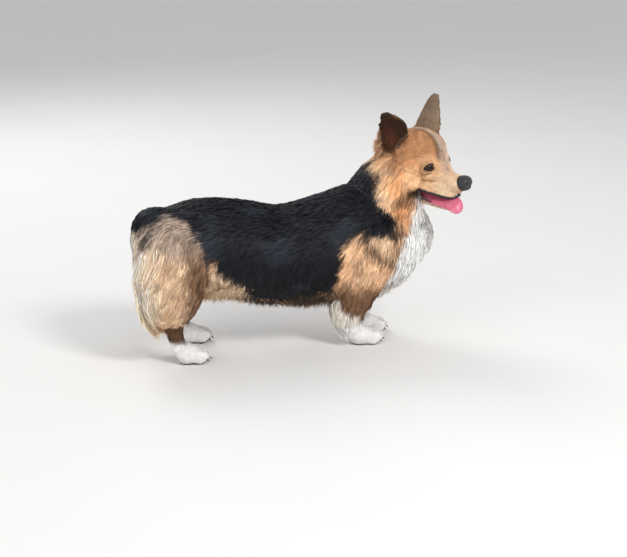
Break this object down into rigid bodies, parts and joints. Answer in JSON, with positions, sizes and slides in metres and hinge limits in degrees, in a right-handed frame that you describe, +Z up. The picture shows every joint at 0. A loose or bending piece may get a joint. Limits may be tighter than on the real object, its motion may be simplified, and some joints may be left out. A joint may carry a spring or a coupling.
{
  "type": "pembroke welsh corgi",
  "caption": "Life-size still model of a long-coated tricolour corgi standing on all fours, head turned to its right, mouth open and tongue out.",
  "frame": {"origin": "middle of the whole dog's footprint box, on the floor under the four paws", "axes": "+X towards the chest along the body, +Y to the dog's left, +Z up"},
  "size_m": [0.6235, 0.2365, 0.4396],
  "materials": {
    "coat_black": "long soft black hair with a slight sheen",
    "coat_tan": "soft red and tan hair",
    "coat_cream": "short pale cream hair",
    "coat_white": "white hair",
    "nose": "moist pebbled black nose leather",
    "eye": "wet dark brown eye",
    "tongue": "moist pink tongue and gums",
    "claw": "dark horn",
    "tooth": "ivory enamel"
  },
  "bodies": {
    "root": {"torso": "coat_black", "neck": "coat_tan", "head": "coat_tan", "eye_right": "eye", "eye_left": "eye", "nose": "nose", "jaw": "coat_cream", "tongue": "tongue", "ear_right": "coat_tan", "ear_left": "coat_tan", "tail": "coat_black", "fore_arm_right": "coat_tan", "fore_leg_right": "coat_tan", "fore_paw_right": "coat_white", "thigh_right": "coat_tan", "hock_right": "coat_tan", "hind_paw_right": "coat_white", "fore_arm_left": "coat_tan", "fore_leg_left": "coat_tan", "fore_paw_left": "coat_white", "thigh_left": "coat_tan", "hock_left": "coat_tan", "hind_paw_left": "coat_white"}
  },
  "joints": []
}
